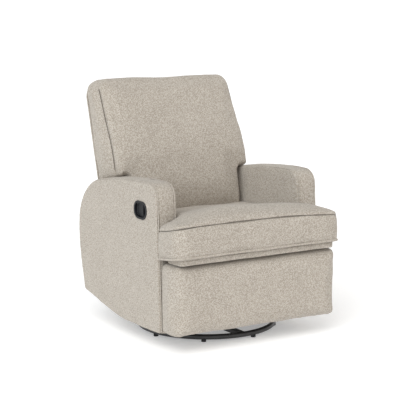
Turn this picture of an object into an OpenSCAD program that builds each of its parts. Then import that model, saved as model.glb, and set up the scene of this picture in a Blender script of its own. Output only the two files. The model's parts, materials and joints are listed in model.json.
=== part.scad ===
// Glider nursery chair: upholstered swivel glider with a reclining back and a fold-out footrest.
// Row frame: X to the right, front at -Y, +Z up, origin on the floor at the swivel axis. Millimetres.

/* [Arms] */
// Outer face to outer face across the two arms
chair_w = 760; // [700:1:820]
// Thickness of one arm
arm_t = 94; // [80:1:110]
// Highest point of the arm
arm_top = 650; // [600:1:700]
// Underside of the arm at the front
arm_bottom = 66; // [50:1:100]
// Foremost point of the arm, measured forward of the swivel axis
arm_front = 263; // [230:1:300]
// Rearmost point of the arm
arm_rear = 401; // [360:1:440]

/* [Seat] */
// Front of the seat cushion, measured forward of the swivel axis
seat_front = 420; // [380:1:440]
// Half width of the cushion ears in front of the arms
ear_half = 388; // [370:1:400]
// Half width of the cushion between the arms
seat_half = 283; // [270:1:285]
// Seat slope, front higher, in degrees
seat_tilt = 3.5; // [0:0.5:6]
// Underside of the cushion at its front edge
seat_low = 379; // [360:1:400]

/* [Back] */
// Recline pivot, rearward of the swivel axis
pivot_y = 225; // [200:1:250]
// Recline pivot height
pivot_z = 385; // [360:1:410]
// Lean of the back at rest, in degrees
back_lean = 16.9; // [10:0.1:22]
// Half width of the back where it passes between the arms
back_low_half = 279; // [270:1:283]
// Half width of the back just above the arms
back_wide_half = 330; // [300:1:340]
// Half width of the back near its top
back_top_half = 325; // [290:1:335]
// Height of the back above the pivot, along its lean
back_len = 640; // [600:1:680]

/* [Footrest panel] */
// Half width of the panel
panel_half = 365; // [340:1:375]
// Front of the panel
panel_front = 397; // [380:1:410]
// Rear of the panel's padded rim
panel_rear = 291; // [280:1:300]
// Bottom of the panel
panel_low = 75; // [60:1:90]
// Top of the panel
panel_high = 355; // [340:1:360]

/* [Base] */
// Centre-line radius of the base ring
ring_r = 278; // [250:1:300]
// Radius of the ring's tube
tube_r = 11; // [8:0.5:14]
// Number of glide feet
feet_n = 8; // [6:1:10]
// Height of a glide foot below the ring
foot_h = 8; // [5:1:12]

/* [Glide] */
// Distance between the two pivots of a glide link
link_len = 130; // [110:1:150]
// Front and rear link pivots, each side of the swivel axis
link_y = 105; // [90:1:120]
// Height of the lower link pivots
link_low = 75; // [70:1:90]

/* [Handle] */
// Centre of the release handle, forward of the swivel axis
handle_y = 120; // [100:1:140]
// Centre height of the release handle
handle_z = 538; // [520:1:560]
// Length of the handle's oval
handle_w = 98; // [80:1:110]
// Height of the handle's oval
handle_h = 72; // [60:1:80]

/* [Hidden] */
$fn = 64;
gap = 0.3;
run = 0.05;
half = chair_w / 2;
arm_in = half - arm_t;
bar_t = 4;
pin_r = 4;
bar_r = 11;
wood_t = 22;
steel = [0.16, 0.16, 0.17];
zinc = [0.62, 0.63, 0.64];
fabric = [0.80, 0.77, 0.72];
board = [0.74, 0.60, 0.42];
nylon = [0.10, 0.10, 0.10];

// Footrest linkage pivots in the closed position, as [y, z].
crank_pin = [-238, 305];
guide_pin = [-279.16, 254.93];
knee_pin = [-249.7, 111.77];
guide_low = [-272.81, 100.39];
stay_low = [-213.94, 101.21];
lift_top = [-296.56, 292.82];
stay_top = [-268.77, 289.58];

// Layers across the mechanism, as the outer face of each 4 mm bar.
plate_x = 250;
guide_x = 245;
lift_x = 240;
crank_x = 235;
stay_x = 230;

hang_x = 194;
link_x = 202;
side_x = 210;
link_high = link_low + link_len;

function bez(a, b, c, d, n) = [for (i = [0:n]) let (t = i / n, s = 1 - t)
  s * s * s * a + 3 * s * s * t * b + 3 * s * t * t * c + t * t * t * d];
function arc(c, r, a0, a1, n) = [for (i = [0:n]) let (a = a0 + (a1 - a0) * i / n)
  c + r * [cos(a), sin(a)]];
function round_rect(w, h, r, n) = concat(
  arc([w / 2 - r, h / 2 - r], r, 0, 90, n), arc([r - w / 2, h / 2 - r], r, 90, 180, n),
  arc([r - w / 2, r - h / 2], r, 180, 270, n), arc([w / 2 - r, r - h / 2], r, 270, 360, n));

module both() {
  children();
  mirror([1, 0, 0]) children();
}

// Extrudes a shape drawn in [y, z] from x0 to x1.
module side_slab(x0, x1) {
  translate([x0, 0, 0]) rotate([90, 0, 90]) linear_extrude(x1 - x0) children();
}

// A shaft along X through a [y, z] point.
module x_rod(p, r, x0, x1) {
  translate([x0, p[0], p[1]]) rotate([0, 90, 0]) cylinder(r = r, h = x1 - x0);
}

module box(x0, x1, y0, y1, z0, z1) {
  translate([x0, y0, z0]) cube([x1 - x0, y1 - y0, z1 - z0]);
}

// Outline of a flat bar with round ends, drawn in [y, z].
module bar_shape(p, q, r) {
  ang = atan2(q[1] - p[1], q[0] - p[0]);
  polygon(concat(arc(q, r, ang - 90, ang + 90, 14), arc(p, r, ang + 90, ang + 270, 14)));
}

// Drills a hole through the bar whose outer face is at x_out.
module bar_hole(p, r, x_out) {
  x_rod(p, r, x_out - bar_t - 1, x_out + 1);
}

// Flat bar with round ends and a hole at each end.
module bar(p, q, x_out, r, hole_p, hole_q) {
  difference() {
    side_slab(x_out - bar_t, x_out) bar_shape(p, q, r);
    bar_hole(p, hole_p, x_out);
    bar_hole(q, hole_q, x_out);
  }
}

// ---------------------------------------------------------------- base

module ring_solid() {
  translate([0, 0, foot_h + tube_r]) rotate_extrude() translate([ring_r, 0]) circle(r = tube_r);
}

spoke_z0 = foot_h + 3;
spoke_z1 = 26;
hub_r = 16;

module base_ring() {
  color(steel) ring_solid();
}

hub_half = 45;

module base_hub() {
  color(steel) difference() {
    box(-hub_half, hub_half, -hub_half, hub_half, spoke_z0, spoke_z1);
    translate([0, 0, spoke_z0 - 1]) cylinder(r = hub_r / 2, h = 40);
  }
}

module base_spokes() {
  color(steel) difference() {
    for (a = [0:90:270]) rotate([0, 0, a]) box(hub_half, ring_r, -15, 15, spoke_z0, spoke_z1);
    ring_solid();
  }
}

module floor_glides() {
  color(nylon) difference() {
    for (i = [0:feet_n - 1]) rotate([0, 0, 360 * i / feet_n - 124.3])
      translate([ring_r, 0, 0]) cylinder(r = 10, h = foot_h + 4);
    ring_solid();
  }
}

race_r = 64;
ball_r = 4.7;
ball_z = 35.5;
ball_n = 16;

module race_groove() {
  translate([0, 0, ball_z]) rotate_extrude() translate([race_r, 0]) circle(r = ball_r + 0.1);
}

module swivel_plate_lower() {
  color(zinc) difference() {
    union() {
      box(-90, 90, -90, 90, 26, 29);
      translate([0, 0, 29]) cylinder(r = 74, h = 5);
    }
    translate([0, 0, 20]) cylinder(r = hub_r / 2, h = 20);
    translate([0, 0, 29]) cylinder(r = 54, h = 6);
    race_groove();
  }
}

module kingpin() {
  color(zinc) union() {
    translate([0, 0, spoke_z0]) cylinder(r = hub_r / 2, h = 42);
    translate([0, 0, spoke_z0 + 42]) cylinder(r = hub_r / 2 + 5, h = 5, $fn = 6);
  }
}

module bearing_balls() {
  color(zinc) for (i = [0:ball_n - 1]) rotate([0, 0, 360 * i / ball_n])
    translate([race_r, 0, ball_z]) sphere(r = ball_r);
}

module swivel_plate_upper() {
  color(zinc) difference() {
    union() {
      box(-90, 90, -90, 90, 42, 45);
      translate([0, 0, 37]) cylinder(r = 74, h = 5);
    }
    translate([0, 0, 36]) cylinder(r = hub_r / 2 + run, h = 20);
    translate([0, 0, 36]) cylinder(r = 54, h = 6);
    race_groove();
  }
}

// ---------------------------------------------------------------- glide mechanism

frame_z0 = 45;
frame_z1 = 70;

module glide_cross_bars() {
  color(steel) for (y = [-link_y, link_y])
    box(bar_t - hang_x, hang_x - bar_t, y - 15, y + 15, frame_z0, frame_z1);
}

module glide_side_bars() {
  color(steel) both() box(45, 75, 15 - link_y, link_y - 15, frame_z0, frame_z1);
}

module hanger(y) {
  difference() {
    union() {
      box(hang_x - bar_t, hang_x, y - 20, y + 20, frame_z0, frame_z1);
      side_slab(hang_x - bar_t, hang_x)
        polygon([[y - 20, frame_z1], [y + 20, frame_z1], [y + 12, link_high], [y - 12, link_high]]);
      x_rod([y, link_high], 12, hang_x - bar_t, hang_x);
    }
    x_rod([y, link_high], 5, hang_x - bar_t - 1, hang_x + 1);
  }
}

module glide_hangers() {
  color(steel) both() {
    hanger(-link_y);
    hanger(link_y);
  }
}

module hanger_pins() {
  color(zinc) both() for (y = [-link_y, link_y]) {
    x_rod([y, link_high], 5, hang_x - bar_t, link_x + 0.5);
    x_rod([y, link_high], 8, hang_x - bar_t - 3, hang_x - bar_t);
  }
}

module glide_link(y) {
  bar([y, link_low], [y, link_high], link_x, 12, 5 + run, 5 + run);
}

module front_links() {
  color(zinc) both() glide_link(-link_y);
}

module rear_links() {
  color(zinc) both() glide_link(link_y);
}

tube_z0 = 224;
tube_z1 = 250;
bolt_z = 237;
bolt_r = 4;

module carriage_rails() {
  color(steel) both() difference() {
    box(side_x - bar_t, side_x, -link_y - 20, link_y + 20, link_low - 14, link_low + 14);
    for (y = [-link_y, link_y]) x_rod([y, link_low], 5, side_x - 6, side_x + 1);
  }
}

module carriage_risers() {
  color(steel) both() for (y = [-link_y, link_y])
    box(side_x - bar_t, side_x, y - 14, y + 14, link_low + 14, tube_z0);
}

module carriage_pins() {
  color(zinc) both() for (y = [-link_y, link_y]) {
    x_rod([y, link_low], 5, link_x - bar_t - 0.5, side_x);
    x_rod([y, link_low], 8, side_x, side_x + 3);
  }
}

module cross_tubes() {
  color(steel) for (y = [-link_y, link_y]) difference() {
    box(-arm_in, arm_in, y - 14, y + 14, tube_z0, tube_z1);
    box(-arm_in + 4, arm_in - 4, y - 11.5, y + 11.5, tube_z0 + 2.5, tube_z1 - 2.5);
    x_rod([y, bolt_z], bolt_r, -arm_in - 1, arm_in + 1);
  }
}

// ---------------------------------------------------------------- seat structure

// Height of the cushion's underside at a given y.
function seat_z(y) = seat_low - (y + seat_front) * tan(seat_tilt);

module mechanism_plates() {
  color(steel) both() difference() {
    side_slab(plate_x - bar_t, plate_x) polygon([[-306, 242], [-262, 238], [-205, tube_z1],
      [150, tube_z1], [150, 314], [-280, 337], [-288, 331], [-306, 331]]);
    x_rod(crank_pin, pin_r, plate_x - 6, plate_x + 1);
    x_rod(guide_pin, pin_r, plate_x - 6, plate_x + 1);
  }
}

module plate_pins() {
  color(zinc) both() {
    x_rod(crank_pin, pin_r, crank_x - bar_t + run, plate_x);
    x_rod(guide_pin, pin_r, guide_x - bar_t - 0.3, plate_x);
  }
}

rail_h = 40;
seat_rear = 159;

module seat_rail(x0, x1, y0, y1) {
  side_slab(x0, x1) polygon([[y0, seat_z(y0) - 6 - rail_h], [y1, seat_z(y1) - 6 - rail_h],
    [y1, seat_z(y1) - 6], [y0, seat_z(y0) - 6]]);
}

rail_y0 = -283;

module seat_side_rails() {
  color(board) both() seat_rail(plate_x, plate_x + wood_t, rail_y0, seat_rear);
}

module seat_cross_rails() {
  inner = plate_x - bar_t;
  color(board) {
    seat_rail(-inner, inner, rail_y0, rail_y0 + wood_t);
    seat_rail(-inner, inner, seat_rear - wood_t, seat_rear);
  }
}

// Space that the panel's top edge swings through below the lip.
lip_clear = 9.5;

// Covered board that carries the overhanging front of the cushion.
module seat_lip() {
  y0 = -386;
  z0 = panel_high + lip_clear;
  color(fabric) side_slab(8 - panel_half, panel_half - 8) polygon([[y0, z0], [rail_y0, z0],
    [rail_y0, seat_z(rail_y0) - 1], [y0, seat_z(y0) - 1]]);
}

spring_n = 5;
spring_w = 3.2;

// One zigzag wire from the front rail to the rear rail, drawn flat in [x, y].
module zigzag(len, loops, swing) {
  step = len / loops;
  pts = [for (i = [0:loops * 4]) let (u = i / 4) [swing * sin(180 * u), u * step]];
  linear_extrude(spring_w) polygon(concat(
    [for (p = pts) [p[0] - spring_w / 2, p[1]]],
    [for (i = [len(pts) - 1:-1:0]) [pts[i][0] + spring_w / 2, pts[i][1]]]));
}

module seat_springs() {
  color(zinc) for (i = [0:spring_n - 1])
    translate([(i - 2) * 92, -275, seat_z(-275) - 6 + 0.2]) rotate([-seat_tilt, 0, 0])
      zigzag(424, 16, 22);
}

module seat_plan() {
  r = 38;
  notch = -251.5;
  polygon(concat(
    arc([ear_half - r, r - seat_front], r, 270, 360, 8),
    arc([ear_half - 20, notch - 20], 20, 0, 90, 5),
    [[seat_half, notch], [seat_half, seat_rear - 20]],
    arc([seat_half - 20, seat_rear - 20], 20, 0, 90, 5),
    arc([20 - seat_half, seat_rear - 20], 20, 90, 180, 5),
    [[-seat_half, notch]],
    arc([20 - ear_half, notch - 20], 20, 90, 180, 5),
    arc([r - ear_half, r - seat_front], r, 180, 270, 8)));
}

module seat_cushion() {
  color(fabric) intersection() {
    translate([0, 0, 300]) linear_extrude(300) seat_plan();
    side_slab(-ear_half, ear_half) polygon(concat(
      [[seat_rear, seat_z(seat_rear)], [-seat_front, seat_low]],
      bez([-seat_front, 505], [-385, 535], [-320, 551], [-220, 549], 8),
      bez([-150, 547], [0, 540], [95, 515], [seat_rear, 475], 8)));
  }
}

// ---------------------------------------------------------------- arms

module arm_outline() {
  r = 55;
  polygon(concat(
    arc([-arm_front + 8, arm_bottom + 8], 8, 270, 180, 3),
    arc([-arm_front + 25 + r, arm_top - 2 - r], r, 180, 90, 8),
    bez([-121, arm_top - 2], [192, arm_top - 28], [382, arm_top - 18], [arm_rear, 428], 14),
    bez([arm_rear - 1, 400], [arm_rear - 1, 300], [380, 225], [358, 142], 8),
    bez([346, 128], [240, 102], [110, 74], [20, arm_bottom], 8)));
}

pocket_out = half - 22;
pocket_in = arm_in + 14;
open_z = 335;

module arm_pad() {
  difference() {
    side_slab(arm_in, half) arm_outline();
    side_slab(pocket_in, pocket_out)
      polygon([[-222, 40], [286, 40], [286, 540], [150, 586], [-222, 600]]);
    box(arm_in - 1, pocket_in + 1, -222, 286, 40, open_z);
  }
}

module handle_pocket() {
  translate([1 - half, -handle_y, handle_z]) rotate([90, 0, -90])
    translate([0, 0, -19]) linear_extrude(30)
      polygon(round_rect(handle_w - 10 + 2 * gap, handle_h - 10 + 2 * gap, 28, 8));
}

module arm_pad_right() {
  color(fabric) arm_pad();
}

module arm_pad_left() {
  color(fabric) difference() {
    mirror([1, 0, 0]) arm_pad();
    handle_pocket();
  }
}

module arm_frame() {
  x0 = pocket_in + gap;
  x1 = pocket_out - gap;
  box(x0, x1, -221, -187, 90, 598);
  box(x0, x1, 200, 236, 130, 552);
  box(x0, x1, -187, 200, 532, 564);
  box(x0, x1, -187, 200, 140, 172);
  difference() {
    box(arm_in, x1, -187, 200, 218, 256);
    for (y = [-link_y, link_y]) x_rod([y, bolt_z], bolt_r, arm_in - 1, arm_in + 44);
  }
}

module arm_frame_right() {
  color(board) arm_frame();
}

module arm_frame_left() {
  color(board) mirror([1, 0, 0]) arm_frame();
}

module arm_bolts() {
  color(zinc) both() for (y = [-link_y, link_y]) {
    x_rod([y, bolt_z], bolt_r, arm_in - 4, arm_in + 44);
    x_rod([y, bolt_z], bolt_r + 3, arm_in - 9, arm_in - 4);
  }
}

module rear_board() {
  color(board) box(-arm_in, arm_in, 318, 333, 118, 362);
}

module rear_cover() {
  color(fabric) box(-arm_in, arm_in, 333, 347, 104, 372);
}

// Fabric that closes the space between the fixed rear cover and the reclining back.
module rear_flap() {
  color(fabric) side_slab(14 - arm_in, arm_in - 14)
    polygon([[336, 372.3], [341, 372.3], [306, 448], [301, 448]]);
}

// ---------------------------------------------------------------- back

// Places children in the back's own frame: x across, y rearward, z up along the lean.
module in_back() {
  translate([0, pivot_y, pivot_z]) rotate([-back_lean, 0, 0]) children();
}

recline_r = 6;
bracket_r = 14;

module recline_brackets() {
  color(steel) both() difference() {
    union() {
      x_rod([pivot_y, pivot_z], bracket_r, arm_in - 4, arm_in);
      side_slab(arm_in - 4, arm_in) polygon([[pivot_y - 30, 270], [pivot_y + 30, 270],
        [pivot_y + bracket_r, pivot_z], [pivot_y - bracket_r, pivot_z]]);
    }
    x_rod([pivot_y, pivot_z], recline_r, arm_in - 5, arm_in + 1);
  }
}

module recline_pins() {
  color(zinc) both() {
    x_rod([pivot_y, pivot_z], recline_r, 273, arm_in);
    x_rod([pivot_y, pivot_z], recline_r + 4, 273, 275.6);
  }
}

module back_brackets() {
  color(steel) both() difference() {
    in_back() union() {
      translate([276, 0, 0]) rotate([0, 90, 0]) cylinder(r = bracket_r, h = bar_t);
      box(276, 276 + bar_t, 0, 22, 0, 150);
    }
    x_rod([pivot_y, pivot_z], recline_r + run, 270, 285);
  }
}

post_in = 240;

module back_posts() {
  color(board) in_back() both() {
    box(post_in, 276, 0, 22, 24, 250);
    box(post_in, 300, 0, 22, 250, 600);
  }
}

module back_cross_rails() {
  color(board) in_back() {
    box(-post_in, post_in, 0, 22, 24, 64);
    box(-post_in, post_in, 0, 22, 560, 600);
  }
}

strap_n = 6;

module back_webbing() {
  color(nylon) in_back() for (i = [0:strap_n - 1])
    box(-270, 270, -1.6, 0, 80 + i * 84, 130 + i * 84);
}

// Lowest edge of the wings, which reach out over the arms.
wing_low = 216;

// Trims the underside of the wings so that it follows the top of the arms.
module wing_trim() {
  both() side_slab(back_low_half, back_wide_half + 10)
    polygon([[-230, 0], [-230, 273], [-90, 245], [40, 219], [40, 0]]);
}

// Front outline of the back, drawn in [x, w]; inset trims it all round.
module back_outline(inset) {
  lo = back_low_half - inset;
  wi = back_wide_half - inset;
  to = back_top_half - inset;
  top = back_len - inset;
  step = wing_low + inset;
  rt = 62;
  rs = 14;
  side = concat(
    arc([lo - 24, 48 + inset], 24, 270, 360, 4),
    [[lo, step]],
    arc([wi - rs, step + rs], rs, 270, 360, 4),
    arc([to - rt, top - rt - 6], rt, 0, 76, 8));
  polygon(concat(side, [[150, top - 3], [0, top - 8], [-150, top - 3]],
    [for (i = [len(side) - 1:-1:0]) [-side[i][0], side[i][1]]]));
}

// The rear of the cushion wraps around the frame, so the frame sits in a recess.
module back_cushion() {
  color(fabric) in_back() difference() {
    intersection() {
      translate([0, 22, 0]) rotate([90, 0, 0]) linear_extrude(220) back_outline(0);
      side_slab(-360, 360) polygon(concat(
        bez([-2, 24], [-40, 20], [-70, 22], [-82, 60], 5),
        bez([-96, 110], [-124, 190], [-126, 290], [-112, 400], 8),
        bez([-104, 450], [-88, 560], [-78, 640], [-40, 640], 6),
        [[22, 632], [22, 24]]));
    }
    box(-290, 290, -2, 23, 0, 252);
    box(-300 - gap, 300 + gap, -2, 23, 240, 600 + gap);
    wing_trim();
  }
}

panel_top_w = 598;

module back_panel() {
  color(fabric) in_back() difference() {
    translate([0, 36, 0]) rotate([90, 0, 0]) linear_extrude(14) intersection() {
      back_outline(5);
      translate([-back_wide_half, 0]) square([2 * back_wide_half, panel_top_w]);
    }
    wing_trim();
  }
}

// ---------------------------------------------------------------- footrest

module crank_links() {
  color(steel) both() difference() {
    side_slab(crank_x - bar_t, crank_x) union() {
      bar_shape(crank_pin, knee_pin, bar_r);
      bar_shape(knee_pin, stay_low, bar_r);
    }
    bar_hole(crank_pin, pin_r + run, crank_x);
    bar_hole(knee_pin, pin_r, crank_x);
    bar_hole(stay_low, pin_r, crank_x);
  }
}

module drive_tube() {
  color(steel) x_rod(crank_pin, 10, bar_t - crank_x, crank_x - bar_t);
}

module crank_pins() {
  color(zinc) both() {
    x_rod(knee_pin, pin_r, crank_x - bar_t, lift_x + 0.4);
    x_rod(stay_low, pin_r, stay_x - bar_t - 0.4, crank_x);
  }
}

module guide_links() {
  color(steel) both() bar(guide_pin, guide_low, guide_x, bar_r, pin_r + run, pin_r + 1.5);
}

module lift_links() {
  color(steel) both() difference() {
    side_slab(lift_x - bar_t, lift_x) union() {
      bar_shape(knee_pin, lift_top, bar_r);
      bar_shape(knee_pin, guide_low, bar_r);
    }
    bar_hole(knee_pin, pin_r + run, lift_x);
    bar_hole(lift_top, pin_r, lift_x);
    bar_hole(guide_low, pin_r, lift_x);
  }
}

module lift_pins() {
  color(zinc) both() {
    x_rod(guide_low, pin_r, lift_x - bar_t, guide_x + 0.4);
    x_rod(lift_top, pin_r, crank_x - bar_t, lift_x);
  }
}

module stay_links() {
  color(steel) both() bar(stay_low, stay_top, stay_x, bar_r - 1, pin_r + run, pin_r + 0.8);
}

board_y = -311;

module panel_brackets() {
  color(steel) both() difference() {
    union() {
      side_slab(crank_x - bar_t, crank_x) union() {
        bar_shape(stay_top, lift_top, bar_r);
        polygon([[board_y, 240], [-284, 283], [-290, 302], [board_y, 320]]);
      }
      box(crank_x - 30, crank_x, board_y - 3, board_y, 200, 325);
    }
    bar_hole(lift_top, pin_r + run, crank_x);
    bar_hole(stay_top, pin_r, crank_x);
  }
}

module panel_pins() {
  color(zinc) both() x_rod(stay_top, pin_r, stay_x - bar_t - 0.4, crank_x);
}

board_y0 = board_y - 15;
border_t = 21;

module panel_board() {
  h = panel_half - border_t;
  color(board) box(-h, h, board_y0, board_y - 3, panel_low + border_t, panel_high - border_t);
}

// Padded strips that carry the cover round the board's edges, one for each edge.
module panel_border() {
  h = panel_half - border_t;
  color(fabric) {
    both() box(h + gap, panel_half, board_y0, -panel_rear, panel_low, panel_high);
    box(-h, h, board_y0, -panel_rear, panel_high - border_t + gap, panel_high);
    box(-h, h, board_y0, -panel_rear, panel_low, panel_low + border_t - gap);
  }
}

// The panel's foam face, in front of the board.
module panel_pad() {
  r = 28;
  e = 20;
  color(fabric) intersection() {
    linear_extrude(panel_high + 10) polygon(concat(
      arc([panel_half - r, r - panel_front], r, 270, 360, 8),
      [[panel_half, board_y0], [-panel_half, board_y0]],
      arc([r - panel_half, r - panel_front], r, 180, 270, 8)));
    side_slab(-panel_half, panel_half) polygon(concat(
      arc([e - panel_front, panel_high - e], e, 180, 90, 6),
      [[board_y0, panel_high], [board_y0, panel_low]],
      arc([e - panel_front, panel_low + e], e, 270, 180, 6)));
  }
}

// ---------------------------------------------------------------- release handle

hinge_y = 32 - handle_y;
hinge_x = 8 - half;
hinge_pin_r = 2;
hinge_pin_h = 50;
barrel_r = 5;
barrel_h = 30;
cup_trim = 16;

// Extrudes a shape drawn in [y, z] on the left arm, from depth d0 to d1 below its outer face.
module left_slab(d0, d1) {
  translate([-half + d0, 0, 0]) rotate([90, 0, 90]) linear_extrude(d1 - d0) children();
}

module handle_oval(trim, r) {
  translate([-handle_y, handle_z]) polygon(round_rect(handle_w - trim, handle_h - trim, r, 8));
}

// A shaft on the paddle's hinge, centred on the handle's height.
module hinge_rod(r, h) {
  translate([hinge_x, hinge_y, handle_z - h / 2]) cylinder(r = r, h = h);
}

module handle_bezel() {
  color(nylon) difference() {
    union() {
      left_slab(-3, 0) handle_oval(0, 33);
      left_slab(0, 17) handle_oval(10, 28);
    }
    left_slab(-4, 14) handle_oval(cup_trim, 25);
    hinge_rod(hinge_pin_r, hinge_pin_h);
  }
}

module handle_pin() {
  color(zinc) hinge_rod(hinge_pin_r, hinge_pin_h);
}

module handle_paddle() {
  color(nylon) difference() {
    union() {
      hinge_rod(barrel_r, barrel_h);
      intersection() {
        union() {
          box(hinge_x - 2, hinge_x + 2, hinge_y - 54, hinge_y, handle_z - 30, handle_z + 30);
          box(hinge_x - 8, hinge_x, hinge_y - 54, hinge_y - 50, handle_z - 30, handle_z + 30);
        }
        left_slab(-1, 12) handle_oval(cup_trim + 3, 23.5);
      }
    }
    hinge_rod(hinge_pin_r + run, hinge_pin_h);
  }
}

base_ring();
base_hub();
base_spokes();
floor_glides();
swivel_plate_lower();
kingpin();
bearing_balls();
swivel_plate_upper();
glide_cross_bars();
glide_side_bars();
glide_hangers();
hanger_pins();
front_links();
rear_links();
carriage_rails();
carriage_risers();
carriage_pins();
cross_tubes();
mechanism_plates();
plate_pins();
seat_side_rails();
seat_cross_rails();
seat_lip();
seat_springs();
seat_cushion();
arm_frame_left();
arm_frame_right();
arm_pad_left();
arm_pad_right();
arm_bolts();
rear_board();
rear_cover();
rear_flap();
recline_brackets();
recline_pins();
back_brackets();
back_posts();
back_cross_rails();
back_webbing();
back_cushion();
back_panel();
crank_links();
drive_tube();
crank_pins();
guide_links();
lift_links();
lift_pins();
stay_links();
panel_brackets();
panel_pins();
panel_board();
panel_border();
panel_pad();
handle_bezel();
handle_pin();
handle_paddle();
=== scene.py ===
"""Looks for the glider nursery chair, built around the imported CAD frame. Metres, front at -Y, +Z up."""

import json
import math

import bmesh
import bpy
import numpy as np
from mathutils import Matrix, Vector, kdtree, noise
from mathutils.geometry import delaunay_2d_cdt


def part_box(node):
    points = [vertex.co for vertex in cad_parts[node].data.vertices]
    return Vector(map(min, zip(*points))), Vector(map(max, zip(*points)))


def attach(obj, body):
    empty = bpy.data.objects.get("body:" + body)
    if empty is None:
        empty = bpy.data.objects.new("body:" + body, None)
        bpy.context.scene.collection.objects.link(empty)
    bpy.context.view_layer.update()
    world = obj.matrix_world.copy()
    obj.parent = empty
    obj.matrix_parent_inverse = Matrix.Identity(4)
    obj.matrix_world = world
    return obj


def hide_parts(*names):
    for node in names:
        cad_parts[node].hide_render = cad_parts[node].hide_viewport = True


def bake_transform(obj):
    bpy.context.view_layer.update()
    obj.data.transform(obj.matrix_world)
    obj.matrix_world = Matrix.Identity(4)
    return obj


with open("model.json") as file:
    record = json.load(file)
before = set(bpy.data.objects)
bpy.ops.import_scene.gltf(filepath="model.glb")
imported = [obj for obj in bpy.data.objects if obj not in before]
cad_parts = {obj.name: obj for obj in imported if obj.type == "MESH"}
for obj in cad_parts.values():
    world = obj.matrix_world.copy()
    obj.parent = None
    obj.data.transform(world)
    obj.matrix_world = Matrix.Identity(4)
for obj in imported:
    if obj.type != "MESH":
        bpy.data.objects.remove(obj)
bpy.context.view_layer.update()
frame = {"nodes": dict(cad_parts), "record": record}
scene = bpy.context.scene
MM = 0.001
CORD_STEP = 6 * MM  # distance between the rings of piping and threads


# ---------------------------------------------------------------- small maths


def smooth(x):
    """Eases from 0 to 1, level at both ends."""
    x = np.clip(x, 0.0, 1.0)
    return x * x * (3 - 2 * x)


def bez(a, b, c, d, n):
    """n points along a cubic Bezier curve."""
    t = np.linspace(0, 1, n)[:, None]
    a, b, c, d = (np.array(p, float) for p in (a, b, c, d))
    s = 1 - t
    return s**3 * a + 3 * s * s * t * b + 3 * s * t * t * c + t**3 * d


def curve(x, xs, ys):
    """Smooth curve through a table: cubic between the points, level beyond the ends."""
    xs, ys = np.array(xs, float), np.array(ys, float)
    slope = np.gradient(ys, xs)
    x = np.clip(x, xs[0], xs[-1])
    k = np.clip(np.searchsorted(xs, x) - 1, 0, len(xs) - 2)
    h = xs[k + 1] - xs[k]
    s = (x - xs[k]) / h
    a, b = 2 * s**3 - 3 * s**2 + 1, s**3 - 2 * s**2 + s
    return a * ys[k] + b * h * slope[k] + (1 - a) * ys[k + 1] + (s**3 - s**2) * h * slope[k + 1]


def arc(centre, r, a0, a1, n=10):
    """n points along an arc, with its angles in degrees."""
    a = np.radians(np.linspace(a0, a1, n))
    return np.array(centre, float) + r * np.stack([np.cos(a), np.sin(a)], 1)


def rounded(w, h, r, n=10):
    """A rectangle with round corners about the origin, anticlockwise."""
    x, y = w / 2 - r, h / 2 - r
    corners = ((x, y, 0), (-x, y, 90), (-x, -y, 180), (x, -y, 270))
    return np.vstack([arc((cx, cy), r, a, a + 90, n) for cx, cy, a in corners])


def resample(points, step, closed=True):
    """Evenly spaced points along a 2D or 3D polyline."""
    p = np.array(points, float)
    if closed:
        p = np.vstack([p, p[:1]])
    seg = np.linalg.norm(np.diff(p, axis=0), axis=1)
    keep = np.concatenate([[True], seg > 1e-7])
    p = p[keep]
    s = np.concatenate([[0], np.cumsum(np.linalg.norm(np.diff(p, axis=0), axis=1))])
    n = max(8, int(round(s[-1] / step)))
    t = np.linspace(0, s[-1], n + 1)
    out = np.stack([np.interp(t, s, p[:, k]) for k in range(p.shape[1])], 1)
    return out[:-1] if closed else out


def soften(points, rounds):
    """Rounds the corners of a closed loop a little."""
    for _ in range(rounds):
        points = (np.roll(points, 1, 0) + 2 * points + np.roll(points, -1, 0)) / 4
    return points


def open_run(keep):
    """Indices of the kept points of a closed loop, in order from the start of their run."""
    start, n = np.argmax(keep & ~np.roll(keep, 1)), len(keep)
    return [(start + k) % n for k in range(n) if keep[(start + k) % n]]


def outward(p):
    """Unit normals of an anticlockwise loop, pointing out of it."""
    d = np.roll(p, -1, 0) - np.roll(p, 1, 0)
    n = np.stack([d[:, 1], -d[:, 0]], 1)
    return n / np.linalg.norm(n, axis=1, keepdims=True)


def inside(pt, poly):
    """Which points lie inside a polygon, by counting the edges a ray crosses."""
    x, y = pt[:, 0][:, None], pt[:, 1][:, None]
    x0, y0 = poly[:, 0][None], poly[:, 1][None]
    x1, y1 = np.roll(poly[:, 0], -1)[None], np.roll(poly[:, 1], -1)[None]
    cross = ((y0 > y) != (y1 > y)) & (x < (x1 - x0) * (y - y0) / (y1 - y0 + 1e-12) + x0)
    return cross.sum(1) % 2 == 1


def edge_distance(pt, poly):
    """Distance from each point to the nearest point of a loop, a batch at a time."""
    batch = 4096
    out = np.empty(len(pt))
    for k in range(0, len(pt), batch):
        d = pt[k : k + batch, None] - poly[None]
        out[k : k + batch] = np.sqrt((d**2).sum(2).min(1))
    return out


def noise_at(co, size, seed):
    """Smooth noise at each point, with features about size across."""
    shift = Vector((seed, seed * 1.7, -seed))
    k = 1.0 / size
    return np.array([noise.noise(Vector(c) * k + shift) for c in co])


# ---------------------------------------------------------------- mesh makers


def mesh_object(name, verts, faces):
    me = bpy.data.meshes.new(name)
    me.from_pydata([tuple(v) for v in verts], [], [tuple(f) for f in faces])
    me.validate()
    me.update()
    me.polygons.foreach_set("use_smooth", [True] * len(me.polygons))
    ob = bpy.data.objects.new(name, me)
    scene.collection.objects.link(ob)
    return ob


def coords(ob):
    co = np.empty(len(ob.data.vertices) * 3)
    ob.data.vertices.foreach_get("co", co)
    return co.reshape(-1, 3)


def set_coords(ob, co):
    ob.data.vertices.foreach_set("co", np.ascontiguousarray(co, float).ravel())
    ob.data.update()


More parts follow.
